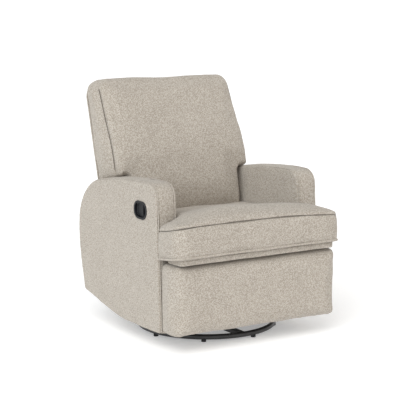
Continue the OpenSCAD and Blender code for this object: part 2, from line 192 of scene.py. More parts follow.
def vertex_normals(ob):
    n = np.empty(len(ob.data.vertices) * 3)
    ob.data.vertices.foreach_get("normal", n)
    return n.reshape(-1, 3)


def bake(ob):
    """Applies the object's modifiers to its mesh."""
    graph = bpy.context.evaluated_depsgraph_get()
    graph.update()
    me = bpy.data.meshes.new_from_object(ob.evaluated_get(graph))
    ob.modifiers.clear()
    old = ob.data
    ob.data = me
    me.name = old.name
    bpy.data.meshes.remove(old)


EDGE_ROWS = 7  # rows of points round each edge of a pad
BAND_STEP = 6 * MM  # distance between rows along a pad's band
SEAM_ROWS = (-4.5, -3, -2, -1, 0, 1, 2, 3, 4.5)  # rows about a seam, in mm from it
SEAM_CLEAR = 5 * MM  # plain rows stay this far from a seam
ROW_CLEAR = 0.5 * MM  # and this far from the rounded edges
ON_BAND = 1e-6  # points nearer to the outline than this are on the band
TRIANGLE = 0.866  # row distance of an even triangle mesh, as a share of its side


class Pad:
    """A stuffed slab: an outline in (u, v), a thickness t from lo to hi, rounded edges,
    rows of points for the seams round its band, and faces filled with an even triangle mesh.
    d is each point's distance in from the outline, and n the outline's normal there."""

    def __init__(self, outline, lo, hi, r_lo, r_hi, seams=(), step=5 * MM, grid=9 * MM, recess=None):
        self.outline = resample(outline, step)
        self.lo, self.hi = lo, hi
        n = outward(self.outline)
        angles = np.linspace(0, math.pi / 2, EDGE_ROWS)
        rows = [(r_lo * (1 - math.sin(a)), lo + r_lo * (1 - math.cos(a))) for a in angles]
        if recess:
            wall, depth = recess
            brim = 2 * MM
            rows = [(wall, lo + depth), (wall, lo + depth / 2), (wall, lo + brim), (wall - brim, lo)] + rows
        a, b = lo + r_lo, hi - r_hi
        ts = list(np.linspace(a, b, max(3, int((b - a) / BAND_STEP)))[1:-1])
        for s in seams:
            ts = [t for t in ts if abs(t - s) > SEAM_CLEAR]
            ts += [s + k * MM for k in SEAM_ROWS]
        ts = sorted(t for t in ts if a + ROW_CLEAR < t < b - ROW_CLEAR)
        rows += [(0.0, t) for t in ts]
        rows += [(r_hi * (1 - math.sin(a)), hi - r_hi * (1 - math.cos(a))) for a in angles[::-1]]
        m = len(self.outline)
        uv = np.concatenate([self.outline - n * inset for inset, _ in rows])
        t = np.concatenate([np.full(m, tt) for _, tt in rows])
        d = np.concatenate([np.full(m, inset) for inset, _ in rows])
        nn = np.tile(n, (len(rows), 1))
        faces = []
        for r in range(len(rows) - 1):
            for k in range(m):
                k2 = (k + 1) % m
                faces.append((r * m + k, r * m + k2, (r + 1) * m + k2, (r + 1) * m + k))
        self.uv, self.t, self.d, self.n, self.faces = uv, t, d, nn, faces
        self._cap(0, rows[0], grid, True)
        self._cap((len(rows) - 1) * m, rows[-1], grid, False)

    def _cap(self, start, row, grid, flip):
        """Fills the ring of points that starts at index start."""
        m = len(self.outline)
        ring = self.uv[start : start + m]
        low, high = ring.min(0), ring.max(0)
        gx = np.arange(low[0] + grid / 2, high[0], grid)
        gy = np.arange(low[1] + grid / 2, high[1], grid * TRIANGLE)
        pts = np.array([(x + (grid / 2 if j % 2 else 0), y) for j, y in enumerate(gy) for x in gx])
        pts = pts[inside(pts, ring)]
        pts = pts[edge_distance(pts, ring) > grid * 0.6]
        allp = [Vector(p) for p in ring] + [Vector(p) for p in pts]
        loop = [(k, (k + 1) % m) for k in range(m)]
        out = delaunay_2d_cdt(allp, loop, [], 1, 1e-7)
        vs, tris, origin = out[0], out[2], out[3]
        base = len(self.uv)
        index, extra = {}, []
        for k, src in enumerate(origin):
            if src and src[0] < m:
                index[k] = start + src[0]
            else:
                index[k] = base + len(extra)
                extra.append(vs[k])
        if extra:
            e = np.array([tuple(v) for v in extra])
            self.uv = np.vstack([self.uv, e])
            self.t = np.concatenate([self.t, np.full(len(e), row[1])])
            self.d = np.concatenate([self.d, edge_distance(e, self.outline)])
            self.n = np.vstack([self.n, np.zeros((len(e), 2))])
        for f in tris:
            f = tuple(index[k] for k in f)
            self.faces.append(f[::-1] if flip else f)

    def groove(self, at, depth, width, mask=None):
        """Draws the band in along a seam at level at."""
        g = depth * np.exp(-(((self.t - at) / width) ** 2)) * (self.d < ON_BAND)
        if mask is not None:
            g = g * mask(self.uv)
        self.uv = self.uv - self.n * g[:, None]

    def band(self, bulge, a, b):
        """Swells the band outwards between two levels."""
        s = np.clip((self.t - a) / (b - a), 0, 1)
        g = bulge * (4 * s * (1 - s)) ** 0.7 * (self.d < ON_BAND)
        self.uv = self.uv + self.n * g[:, None]

    def crown(self, top, bottom, reach):
        """Lifts both faces away from the middle, more with the distance from the outline."""
        f = 1 - np.exp(-self.d / reach)
        s = smooth((self.t - self.lo) / (self.hi - self.lo))
        self.t = self.t + f * (top * s - bottom * (1 - s))

    def make(self, name, place):
        """The mesh, with place taking (u, v, t) to the row frame."""
        ob = mesh_object(name, place(self.uv[:, 0], self.uv[:, 1], self.t), self.faces)
        face_outwards(ob)
        return ob


def face_outwards(ob):
    """Turns every face to look outwards."""
    bm = bmesh.new()
    bm.from_mesh(ob.data)
    bmesh.ops.recalc_face_normals(bm, faces=bm.faces)
    bm.to_mesh(ob.data)
    bm.free()
    ob.data.update()


def tube(name, path, r, closed=False, sides=10):
    """A round cord along a 3D path."""
    p = np.array(path, float)
    m = len(p)
    if closed:
        tan = np.roll(p, -1, 0) - np.roll(p, 1, 0)
    else:
        tan = np.gradient(p, axis=0)
    tan /= np.linalg.norm(tan, axis=1, keepdims=True)
    oblique = (0.31, 0.57, 0.76)  # along no cord
    up = np.cross(tan[0], oblique)
    up /= np.linalg.norm(up)
    rings = []
    for k in range(m):
        up = up - tan[k] * np.dot(up, tan[k])
        up /= np.linalg.norm(up)
        side = np.cross(tan[k], up)
        a = np.linspace(0, 2 * math.pi, sides, endpoint=False)
        rings.append(p[k] + r * (np.outer(np.cos(a), up) + np.outer(np.sin(a), side)))
    v = np.concatenate(rings)
    faces = []
    for k in range(m if closed else m - 1):
        k2 = (k + 1) % m
        for j in range(sides):
            j2 = (j + 1) % sides
            faces.append((k * sides + j, k * sides + j2, k2 * sides + j2, k2 * sides + j))
    if not closed:
        faces.append(tuple(range(sides))[::-1])
        faces.append(tuple((m - 1) * sides + j for j in range(sides)))
    ob = mesh_object(name, v, faces)
    face_outwards(ob)
    return ob


def puff(ob, pressure, cap, pinned):
    """Inflates a padded piece with a cloth simulation on a coarse copy, then moves the fine mesh
    with it, no point much more than cap. pinned says how firmly each point is held."""
    frames, neighbours, blur, still = 20, 6, 2 * MM, 1e-9
    proxy = bpy.data.objects.new("proxy", ob.data.copy())
    scene.collection.objects.link(proxy)
    mod = proxy.modifiers.new("even", "REMESH")
    mod.mode = "VOXEL"
    mod.voxel_size = 8 * MM
    bake(proxy)
    rest = coords(proxy)
    group = proxy.vertex_groups.new(name="pin")
    for k, w in enumerate(pinned(rest)):
        group.add([k], float(w), "REPLACE")
    mod = proxy.modifiers.new("cloth", "CLOTH")
    s = mod.settings
    s.use_pressure = True
    s.uniform_pressure_force = pressure
    s.effector_weights.gravity = 0
    s.quality = 5
    s.mass = 0.3
    s.tension_stiffness = 12
    s.compression_stiffness = 12
    s.shear_stiffness = 6
    s.bending_stiffness = 1.5
    mod.collision_settings.use_collision = False
    mod.point_cache.frame_start = 1
    mod.point_cache.frame_end = frames
    s.vertex_group_mass = "pin"
    for f in range(1, frames + 1):
        scene.frame_set(f)
    bake(proxy)
    move = coords(proxy) - rest
    size = np.linalg.norm(move, axis=1, keepdims=True)
    move *= np.where(size > still, cap * np.tanh(size / cap) / np.maximum(size, still), 0)
    tree = kdtree.KDTree(len(rest))
    for k, c in enumerate(rest):
        tree.insert(c, k)
    tree.balance()
    co = coords(ob)
    out = co.copy()
    for k, c in enumerate(co):
        near = tree.find_n(c, neighbours)
        w = np.array([1.0 / (q[2] + blur) ** 2 for q in near])
        out[k] += (w[:, None] * move[[q[1] for q in near]]).sum(0) / w.sum()
    set_coords(ob, out)
    bpy.data.objects.remove(proxy)
    scene.frame_set(1)


def lumps(ob, rows):
    """Small unevenness of stuffed fabric: rows are (height, size, seed)."""
    co, n = coords(ob), vertex_normals(ob)
    h = np.zeros(len(co))
    for height, size, seed in rows:
        h += height * noise_at(co, size, seed)
    set_coords(ob, co + n * h[:, None])


# ---------------------------------------------------------------- materials


def material(name):
    """A new material, its node tree, its surface shader and the object coordinates."""
    m = bpy.data.materials.new(name)
    m.use_nodes = True
    t = m.node_tree
    return m, t, t.nodes["Principled BSDF"], add(t, "ShaderNodeTexCoord").outputs["Object"]


def put(tree, socket, value):
    """Links an input to a socket, or sets it to a value."""
    if isinstance(value, bpy.types.NodeSocket):
        tree.links.new(value, socket)
    else:
        socket.default_value = value


def add(tree, kind, props=None, **values):
    """A node with its properties set, and its inputs set or linked: in0 is the first input."""
    node = tree.nodes.new(kind)
    for k, v in (props or {}).items():
        setattr(node, k, v)
    for k, v in values.items():
        key = int(k[2:]) if k.startswith("in") and k[2:].isdigit() else k.replace("_", " ")
        put(tree, node.inputs[key], v)
    return node


def maths(tree, op, a, b, clamp=False):
    return add(tree, "ShaderNodeMath", {"operation": op, "use_clamp": clamp}, in0=a, in1=b).outputs[0]


def weighted(tree, *terms):
    """Sum of values, each times its weight."""
    total = None
    for value, weight in terms:
        term = maths(tree, "MULTIPLY", value, weight)
        total = term if total is None else maths(tree, "ADD", total, term)
    return total


def tinted(tree, colour, tint):
    """One colour times another."""
    node = add(tree, "ShaderNodeMix", {"data_type": "RGBA", "blend_type": "MULTIPLY"}, in0=1.0, in6=colour, in7=tint)
    return node.outputs[2]


def ramp(tree, fac, *stops):
    """Colour ramp with stops of (position, colour)."""
    node = tree.nodes.new("ShaderNodeValToRGB")
    while len(node.color_ramp.elements) < len(stops):
        node.color_ramp.elements.new(0.5)
    for e, (pos, col) in zip(node.color_ramp.elements, stops):
        e.position = pos
        e.color = (*col, 1)
    tree.links.new(fac, node.inputs[0])
    return node.outputs[0]


def to_range(tree, value, low, high):
    return add(tree, "ShaderNodeMapRange", Value=value, To_Min=low, To_Max=high).outputs[0]


def cloud(tree, at, scale, detail=2.0, rough=0.5, distortion=0.0):
    """Noise from 0 to 1."""
    values = {"Scale": scale, "Detail": detail, "Roughness": rough, "Distortion": distortion}
    return add(tree, "ShaderNodeTexNoise", Vector=at, **values).outputs["Fac"]


def surface(tree, shader, colour, rough, height, strength, distance):
    """Colour, roughness and bump go into the surface shader."""
    put(tree, shader.inputs["Base Color"], colour)
    put(tree, shader.inputs["Roughness"], rough)
    bump = add(tree, "ShaderNodeBump", Height=height, Strength=strength, Distance=distance)
    tree.links.new(bump.outputs[0], shader.inputs["Normal"])


def boucle(name, light, mid, deep, scale=1.0, bump=0.55):
    """Short looped yarn: irregular loops about 4 mm across, fuzz on them, and painted shade darkening the colour
    between them.
    """
    m, t, b, at = material(name)
    wobble = add(t, "ShaderNodeTexNoise", Vector=at, Scale=95.0, Detail=2.0, Roughness=0.5).outputs["Color"]
    reach = (7 * MM, 7 * MM, 7 * MM)
    bent = add(t, "ShaderNodeVectorMath", {"operation": "MULTIPLY_ADD"}, in0=wobble, in1=reach, in2=at).outputs[0]
    loops = add(
        t, "ShaderNodeTexVoronoi", {"feature": "SMOOTH_F1"}, Vector=bent, Scale=270.0 * scale, Smoothness=0.25
    )
    fine = add(t, "ShaderNodeTexVoronoi", {"feature": "F1"}, Vector=bent, Scale=540.0 * scale)
    fuzz = cloud(t, at, 1500.0, 3.0, 0.7)
    broad = cloud(t, at, 11.0, 4.0, 0.6)
    clump = cloud(t, bent, 125.0, 3.0, 0.6)
    round1 = maths(t, "SUBTRACT", 1.0, maths(t, "MULTIPLY", loops.outputs["Distance"], 1.25), True)
    round2 = maths(t, "SUBTRACT", 1.0, fine.outputs["Distance"], True)
    height = weighted(t, (round1, 0.62), (round2, 0.23), (fuzz, 0.15), (clump, 0.6))
    # Painted shade: the colour darkens from the loops' tops to the hollows between them, with random tone from the
    # fuzz and the clumps on top.
    shade = weighted(t, (round1, 0.55), (fuzz, 0.20), (clump, 0.46))
    col = ramp(t, shade, (0.44, deep), (0.60, mid), (0.82, light))
    cell = add(t, "ShaderNodeSeparateColor", Color=loops.outputs["Color"]).outputs[0]
    white = (1.0, 1.0, 1.0)
    col = tinted(t, col, ramp(t, cell, (0.0, (0.92, 0.915, 0.91)), (1.0, white)))
    col = tinted(t, col, ramp(t, broad, (0.3, (0.94, 0.935, 0.93)), (0.7, white)))
    surface(t, b, col, to_range(t, fuzz, 0.86, 1.0), height, bump, 2.4 * MM)
    b.inputs["Specular IOR Level"].default_value = 0.15
    b.inputs["Sheen Weight"].default_value = 0.25
    b.inputs["Sheen Roughness"].default_value = 0.55
    b.inputs["Sheen Tint"].default_value = (1.0, 0.97, 0.93, 1)
    return m


def coated(name, col, rough):
    """Powder coat or enamel on steel: orange-peel grain, uneven gloss, faint dust."""
    m, t, b, at = material(name)
    peel = cloud(t, at, 900.0)
    patch = cloud(t, at, 22.0, 4.0, 0.65)
    dust = tuple(min(1.0, c * 1.6 + 0.01) for c in col)
    c = ramp(t, patch, (0.35, col), (0.72, dust))
    surface(t, b, c, to_range(t, patch, rough - 0.08, rough + 0.12), peel, 0.24, 0.3 * MM)
    return m


def brushed(name, col):
    """Zinc plate: fine drawn lines, spangled tone and dulled patches."""
    m, t, b, at = material(name)
    stretched = add(t, "ShaderNodeMapping", Vector=at, Scale=(1.0, 14.0, 14.0)).outputs[0]
    lines = cloud(t, stretched, 160.0, 4.0)
    spangle = add(t, "ShaderNodeTexVoronoi", Vector=at, Scale=240.0).outputs["Color"]
    cell = add(t, "ShaderNodeSeparateColor", Color=spangle).outputs[0]
    c = ramp(t, cell, (0.0, tuple(v * 0.82 for v in col)), (1.0, col))
    surface(t, b, c, to_range(t, lines, 0.28, 0.48), lines, 0.12, 0.15 * MM)
    b.inputs["Metallic"].default_value = 1.0
    return m


def timber(name):
    """Softwood and plywood: rings stretched along the board, pores and a raised grain."""
    m, t, b, at = material(name)
    long = add(t, "ShaderNodeMapping", Vector=at, Scale=(3.0, 3.0, 40.0)).outputs[0]
    warp = cloud(t, long, 1.6, 3.0)
    grain = cloud(t, long, 22.0, 6.0, distortion=1.2)
    pores = cloud(t, long, 240.0)
    rings = weighted(t, (grain, 0.65), (warp, 0.35))
    c = ramp(t, rings, (0.34, (0.36, 0.23, 0.12)), (0.52, (0.56, 0.40, 0.23)), (0.7, (0.70, 0.54, 0.34)))
    surface(t, b, c, to_range(t, pores, 0.55, 0.8), pores, 0.25, 0.4 * MM)
    return m


def moulded(name, col, rough):
    """Moulded plastic with a fine spark-eroded texture."""
    m, t, b, at = material(name)
    spark = add(t, "ShaderNodeTexVoronoi", Vector=at, Scale=1600.0).outputs["Distance"]
    patch = cloud(t, at, 45.0, 4.0)
    c = ramp(t, patch, (0.3, col), (0.8, tuple(v * 1.5 + 0.004 for v in col)))
    surface(t, b, c, to_range(t, patch, rough - 0.06, rough + 0.1), spark, 0.18, 0.2 * MM)
    b.inputs["Specular IOR Level"].default_value = 0.22
    return m


def woven(name, col):
    """Elastic webbing: crossing ribs."""
    m, t, b, at = material(name)

    def ribs(direction, scale):
        props = {"bands_direction": direction}
        return add(t, "ShaderNodeTexWave", props, Vector=at, Scale=scale, Distortion=0.4).outputs["Fac"]

    h = maths(t, "MULTIPLY", ribs("X", 160.0), ribs("Z", 220.0))
    c = ramp(t, h, (0.0, tuple(v * 0.5 for v in col)), (1.0, col))
    surface(t, b, c, 0.85, h, 0.5, 0.6 * MM)
    return m


LIGHT, MID, DEEP = (0.55, 0.505, 0.452), (0.465, 0.422, 0.37), (0.325, 0.288, 0.243)
cloth = boucle("boucle", LIGHT, MID, DEEP)
welt_cloth = boucle("boucle_welt", LIGHT, MID, DEEP, scale=1.3, bump=0.45)
# A dark cloth for cords laid in the seam grooves: painted shadow of the seams, darker than the yarn's own colour.
seam_shadow_cloth = boucle("seam_shadow_cord", (0.20, 0.175, 0.145), (0.16, 0.14, 0.115), (0.10, 0.085, 0.07), scale=2.2, bump=0.3)
finish = {
    "boucle": cloth,
    "black_steel": coated("black_steel", (0.012, 0.012, 0.013), 0.34),
    "mechanism_steel": coated("mechanism_steel", (0.022, 0.022, 0.024), 0.42),
    "zinc_steel": brushed("zinc_steel", (0.62, 0.63, 0.64)),
    "plywood": timber("plywood"),
    "webbing": woven("webbing", (0.05, 0.05, 0.052)),
    "glide_nylon": moulded("glide_nylon", (0.014, 0.014, 0.015), 0.5),
    "handle_plastic": moulded("handle_plastic", (0.006, 0.0065, 0.008), 0.42),
}
for part in frame["record"]["subparts"]:
    node = frame["nodes"][part["node"]]
    node.data.materials.clear()
    node.data.materials.append(finish[part["material_slot"]])


def dress(ob, mat, body, *nodes):
    """Gives a fabric piece its material and body, and hides the CAD nodes it replaces."""
    ob.data.materials.clear()
    ob.data.materials.append(mat)
    if body:
        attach(ob, body)
    if nodes:
        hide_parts(*nodes)


# ---------------------------------------------------------------- arms

arm_lo, arm_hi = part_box("arm_pad_right")
ARM_IN, ARM_OUT = arm_lo.x, arm_hi.x
ARM_TOP, ARM_BOTTOM = arm_hi.z, arm_lo.z
ARM_FRONT, ARM_REAR = arm_lo.y, arm_hi.y


def arm_outline():
    """Side view of an arm, in (y, z), anticlockwise from the rear bottom corner."""
    r, hem_r = 0.055, 0.010
    parts = [
        bez((ARM_REAR + 4 * MM, 0.428), (0.392, 0.524), (0.324, 0.590), (0.225, 0.612), 40),
        bez((0.215, 0.614), (0.130, 0.630), (0.0, 0.643), (-0.121, ARM_TOP + MM), 40),
        arc((ARM_FRONT + 0.025 + r, ARM_TOP + MM - r), r, 90, 180, 20),
        arc((ARM_FRONT + hem_r, ARM_BOTTOM + hem_r), hem_r, 180, 270, 6),
        bez((0.02, ARM_BOTTOM), (0.11, 0.074), (0.24, 0.102), (0.336, 0.125), 40),
        bez((0.352, 0.127), (0.362, 0.131), (0.365, 0.138), (0.367, 0.152), 6),
        bez((0.370, 0.166), (0.386, 0.225), (ARM_REAR + 4 * MM, 0.30), (ARM_REAR + 5 * MM, 0.40), 30),
    ]
    return soften(resample(np.vstack(parts), 4 * MM), 6)


ARM_RIM = 6 * MM  # radius of an arm's edges
ARM_SEAM = 8 * MM  # distance of its piped seams from its side faces


def cut_handle_pocket(ob):
    """Opens the fabric where the handle's cup goes into the arm."""
    low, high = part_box("handle_bezel")
    w, h = high.y - low.y - 9 * MM, high.z - low.z - 9 * MM
    o = rounded(w, h, 0.029)
    cy, cz = (high.y + low.y) / 2, (high.z + low.z) / 2
    m = len(o)
    x0, x1 = low.x - 0.03, high.x + 2 * MM
    v = [(x, cy + p[0], cz + p[1]) for x in (x0, x1) for p in o]
    f = [(k, (k + 1) % m, m + (k + 1) % m, m + k) for k in range(m)]
    f += [tuple(range(m))[::-1], tuple(range(m, 2 * m))]
    cutter = mesh_object("cutter", v, f)
    face_outwards(cutter)
    mod = ob.modifiers.new("pocket", "BOOLEAN")
    mod.operation = "DIFFERENCE"
    mod.solver = "EXACT"
    mod.object = cutter
    bake(ob)
    bpy.data.objects.remove(cutter)


def make_arm(side):
    sign = -1 if side == "left" else 1
    outline = arm_outline()
    lo, hi = ARM_IN + 1 * MM, ARM_OUT - 2 * MM
    s_in, s_out = lo + ARM_SEAM, hi - ARM_SEAM
    pad = Pad(outline, lo, hi, ARM_RIM, ARM_RIM, seams=(s_in, s_out), step=5 * MM, grid=10 * MM)
    pad.band(4.0 * MM, s_in, s_out)
    for seam in (s_in, s_out):
        pad.groove(seam, 4.2 * MM, 2.6 * MM)
    pad.crown(2.0 * MM, 3.5 * MM, 40 * MM)
    ob = pad.make("arm_cover_" + side, lambda u, v, t: np.stack([sign * t, u, v], 1))
    lumps(ob, [(1.6 * MM, 0.09, 3.1 + sign), (0.9 * MM, 0.03, 7.7 * sign), (0.45 * MM, 0.011, 2.2)])
    if side == "left":
        cut_handle_pocket(ob)
    dress(ob, cloth, "carriage", "arm_pad_" + side)
    # Self-fabric piping lies in both grooves, from the front hem over the arm to the rear hem,
    # with a thin dark cord beside it that paints the seam's shadow.
    y, z = outline[:, 0], outline[:, 1]
    underside = (z < 0.14) & (y > ARM_FRONT + 0.03)
    order = open_run((z > ARM_BOTTOM + 6 * MM) & ~underside)
    line, n = outline[order], outward(outline)[order]
    for tag, t, inward in (("inner", s_in, 1), ("outer", s_out, -1)):
        for stem, out, beside, r, mat in (
            ("arm_piping", 0.6 * MM, 0.0, 3.0 * MM, welt_cloth),
            ("arm_seam_shadow", -0.8 * MM, 4 * MM, 1.4 * MM, seam_shadow_cloth),
        ):
            q = line + n * out
            path = np.stack([np.full(len(q), sign * (t + inward * beside)), q[:, 0], q[:, 1]], 1)
            cord = tube(f"{stem}_{tag}_{side}", resample(path, CORD_STEP, closed=False), r)
            dress(cord, mat, "carriage")


for arm in ("left", "right"):
    make_arm(arm)

# ---------------------------------------------------------------- seat cushion

seat_lo, seat_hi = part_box("seat_cushion")
SEAT_FRONT, SEAT_REAR = seat_lo.y + 8 * MM, seat_hi.y + 6 * MM
EAR = seat_hi.x
SEAT_HALF = 0.283  # half the width between the arms
SEAT_SLOPE = math.tan(math.radians(3.5))
SEAT_LOW = 0.382  # height of the underside at the front
SEAT_SEAM = 0.510  # height of the upper seam at the front
SEAM_FALL = 0.058  # how fast that seam falls to the rear
SEAT_THICK = 0.131
SEAT_EDGE = 7 * MM  # radius of the upper and lower edges
SEAT_CROWN = 0.010
SEAT_WELT = 7 * MM  # height of the lower welt above the underside


def seat_bottom(y):
    """Height of the cushion's underside."""
    return SEAT_LOW - (y - SEAT_FRONT) * SEAT_SLOPE


def ear_droop(x, y):
    """The ears' undersides fall a little more towards the rear."""
    return 0.08 * smooth((np.abs(x) - 0.29) / 0.06) * (y - SEAT_FRONT)


def seat_outline():
    """Plan of the T-shaped cushion, in (x, y)."""
    r, soft_r = 0.042, 0.026
    notch = -0.2535  # where the ears end in front of the arms
    ear = EAR - 4 * MM
    half = SEAT_HALF - 2 * MM
    front = SEAT_FRONT + 5 * MM
    right = np.vstack(
        [
            arc((ear - r, front + r), r, 270, 360, 14),
            arc((ear - 0.016, notch - 0.016), 0.016, 0, 90, 6),
            arc((half + soft_r, notch + soft_r), soft_r, 270, 180, 8),
            arc((half - 0.03, SEAT_REAR - 0.03), 0.03, 0, 90, 8),
        ]
    )
    left = right[::-1] * np.array([-1, 1])
    return soften(resample(np.vstack([right, left]), 4 * MM), 4)


# The crown's share of its full height across the cushion, and its height from front to rear.
SIDE_U = [-0.388, -0.370, -0.323, -0.275, -0.173, -0.022, 0.132, 0.316, 0.360, 0.388]
SIDE_LIFT = [0.10, 0.42, 0.54, 0.70, 1.02, 0.98, 0.78, 0.62, 0.52, 0.10]
TOP_V = [-0.415, -0.402, -0.386, -0.365, -0.340, -0.310, -0.280, -0.24, -0.20, -0.15, -0.10, 0.0, 0.10, 0.17]
TOP_Z = [0.518, 0.532, 0.542, 0.549, 0.5535, 0.554, 0.550, 0.540, 0.530, 0.518, 0.508, 0.490, 0.479, 0.472]


def seat_seam_z(u, v):
    """Height of the cushion's upper seam: lower to the right, and falling along the ears' sides."""
    side = np.where(u > 0, 0.018 * (u / 0.37) ** 2, 0.005 * (u / 0.37) ** 4)
    ear = 0.14 * smooth((np.abs(u) - 0.28) / 0.09)
    return SEAT_SEAM - side - (v - SEAT_FRONT) * (SEAM_FALL + ear)


def make_seat():
    seam = SEAT_THICK - SEAT_EDGE - 1.5 * MM
    seams = (seam, SEAT_WELT)
    pad = Pad(seat_outline(), 0.0, SEAT_THICK, SEAT_EDGE, SEAT_EDGE, seams, step=5 * MM, grid=9 * MM)
    pad.band(5 * MM, SEAT_WELT, seam)
    pad.groove(seam, 4.5 * MM, 1.9 * MM)
    pad.groove(SEAT_WELT, 2.5 * MM, 2.0 * MM)
    pad.crown(SEAT_CROWN, 0.0, 0.03)

    def place(u, v, t):
        low = seat_bottom(v) - ear_droop(u, v) + 0.5 * MM
        seam_z = seat_seam_z(u, v)
        centre = SEAT_SEAM - (v - SEAT_FRONT) * SEAM_FALL
        lift = curve(u, SIDE_U, SIDE_LIFT) * (curve(v, TOP_V, TOP_Z) - centre - SEAT_CROWN)
        over = smooth((t - seam) / (SEAT_THICK + 6 * MM - seam))
        return np.stack([u, v, low + np.minimum(t, SEAT_THICK) / seam * (seam_z - low) + over * lift], 1)

    return pad.make("seat_cushion_cover", place), pad, place, seam


seat, seat_pad, seat_place, seat_seam = make_seat()
puff(seat, 3.0, 3 * MM, pinned=lambda co: (co[:, 2] < seat_bottom(co[:, 1]) + 0.02).astype(float))
lumps(seat, [(3.0 * MM, 0.13, 5.3), (1.4 * MM, 0.05, 9.1), (0.5 * MM, 0.012, 4.0)])
co = coords(seat)
floor_z = seat_bottom(co[:, 1]) - ear_droop(co[:, 0], co[:, 1]) + 0.4 * MM
co[:, 2] = np.maximum(co[:, 2], floor_z)
set_coords(seat, co)
dress(seat, cloth, "carriage", "seat_cushion")


def seat_welt(name, level, out, r, mat):
    """A cord along the front and the sides of the cushion's ears."""
    o = seat_pad.outline
    order = open_run(o[:, 1] < -0.27)
    q = o[order] + outward(o)[order] * out
    path = seat_place(q[:, 0], q[:, 1], np.full(len(q), level))
    dress(tube(name, resample(path, CORD_STEP, closed=False), r), mat, "carriage")


seat_welt("seat_welt_lower", SEAT_WELT, 2.4 * MM, 4.6 * MM, welt_cloth)
# A thin dark cord in the upper seam paints the seam's shadow.
seat_welt("seat_seam_shadow", seat_seam, -3.4 * MM, 1.5 * MM, seam_shadow_cloth)

# ---------------------------------------------------------------- footrest panel and seat lip

pan_lo, pan_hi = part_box("panel_pad")
PANEL_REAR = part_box("panel_border")[1].y + 19 * MM


def make_panel():
    """Wraps the panel's front and edges, and is hollow behind for the board and brackets."""
    w, h = pan_hi.x - pan_lo.x, pan_hi.z - pan_lo.z
    cz = (pan_hi.z + pan_lo.z) / 2
    depth = PANEL_REAR - pan_lo.y
    outline = soften(resample(rounded(w + 16 * MM, h - 9 * MM, 0.016), 5 * MM), 3)
    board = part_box("panel_board")[1].y
    wall, rim = 12.5 * MM, PANEL_REAR - board
    pad = Pad(outline, 0.0, depth - 3 * MM, 4 * MM, 0.024, step=5 * MM, grid=10 * MM, recess=(wall, rim))
    pad.band(5.0 * MM, 0.0, depth - 0.012)
    pad.crown(4 * MM, 0.0, 0.05)
    # The rim is only as deep as the CAD border in the middle, where the links fold into it.
    shallow = (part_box("panel_border")[1].y - board) / rim

    def place(u, v, t):
        keep = shallow + (1 - shallow) * smooth((np.abs(u) - 0.315) / 0.03)
        depth_at = np.where(t < rim, rim - (rim - t) * keep, t)
        return np.stack([u, PANEL_REAR - depth_at, cz - 3 * MM + v], 1)

    return pad.make("footrest_panel_cover", place)


panel = make_panel()
puff(panel, 2.0, 5 * MM, pinned=lambda co: (co[:, 1] > PANEL_REAR - 0.03).astype(float))
lumps(panel, [(2.2 * MM, 0.12, 1.3), (1.2 * MM, 0.045, 6.1), (0.45 * MM, 0.012, 8.0)])
dress(panel, cloth, "footrest", "panel_pad", "panel_border")

lip_lo, lip_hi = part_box("seat_lip")


def make_lip():
    """The strip under the cushion's front."""
    w, front = lip_hi.x - lip_lo.x + 8 * MM, lip_lo.y - 10 * MM
    cy, d = (lip_hi.y + front) / 2, lip_hi.y - front
    outline = resample(rounded(w, d, 0.020), 6 * MM)
    pad = Pad(outline, lip_lo.z - 7 * MM, lip_lo.z + 0.016, 4 * MM, 4 * MM, step=6 * MM, grid=14 * MM)

    def place(u, v, t):
        return np.stack([u, cy + v, t - ear_droop(u, cy + v) * 0.5], 1)

    return pad.make("seat_lip_cover", place)


lip = make_lip()
lumps(lip, [(0.8 * MM, 0.06, 2.3)])
dress(lip, cloth, "carriage", "seat_lip")

# ---------------------------------------------------------------- back

LEAN = math.radians(16.9)
PIVOT_Y, PIVOT_Z = 0.225, 0.385
BACK_LOW, BACK_WIDE, BACK_TOP = 0.279, 0.335, 0.330  # half widths: between the arms, over them, at the top
BACK_LEN = 0.640
BACK_STEP = 0.206  # where it widens, above the recline pivot
BACK_TAPER = 0.039  # share by which its front face is narrower


def in_back(x, v, w):
    """Back coordinates (x across, v rearward, w up along the lean) to the row frame."""
    y = PIVOT_Y + v * math.cos(LEAN) + w * math.sin(LEAN)
    z = PIVOT_Z - v * math.sin(LEAN) + w * math.cos(LEAN)
    return np.stack([x, y, z], 1)


def back_outline(inset, length=BACK_LEN):
    """Front view of the back, in (x, w)."""
    lo, wi, to = BACK_LOW - inset, BACK_WIDE - inset, BACK_TOP - inset
    top, step, rt, rs = length - inset, BACK_STEP + inset, 0.047, 0.012
    right = np.vstack(
        [
            arc((lo - 0.024, 0.050 + inset), 0.024, 270, 360, 8),
            arc((lo + 0.016, step - 0.016), 0.016, 180, 90, 6),
            arc((wi - rs, step + rs), rs, 270, 356, 8),
            arc((to - rt, top - rt - 4 * MM), rt, 4, 86, 16),
            [[0.15, top - 2 * MM], [0.08, top - 5 * MM], [0, top - 6 * MM]],
        ]
    )
    left = right[::-1] * np.array([-1, 1])
    return soften(resample(np.vstack([right, left[1:]]), 4 * MM), 4)


FACE_W = [0.0, 0.03, 0.07, 0.13, 0.237, 0.30, 0.36, 0.42, 0.48, 0.53, 0.587, 0.64, 0.70]
FACE_V = [-0.050, -0.064, -0.083, -0.096, -0.103, -0.104, -0.100, -0.089, -0.079, -0.072, -0.063, -0.052, -0.045]


def back_face(w):
    """Depth of the front seam plane along the back."""
    return curve(w, FACE_W, FACE_V)


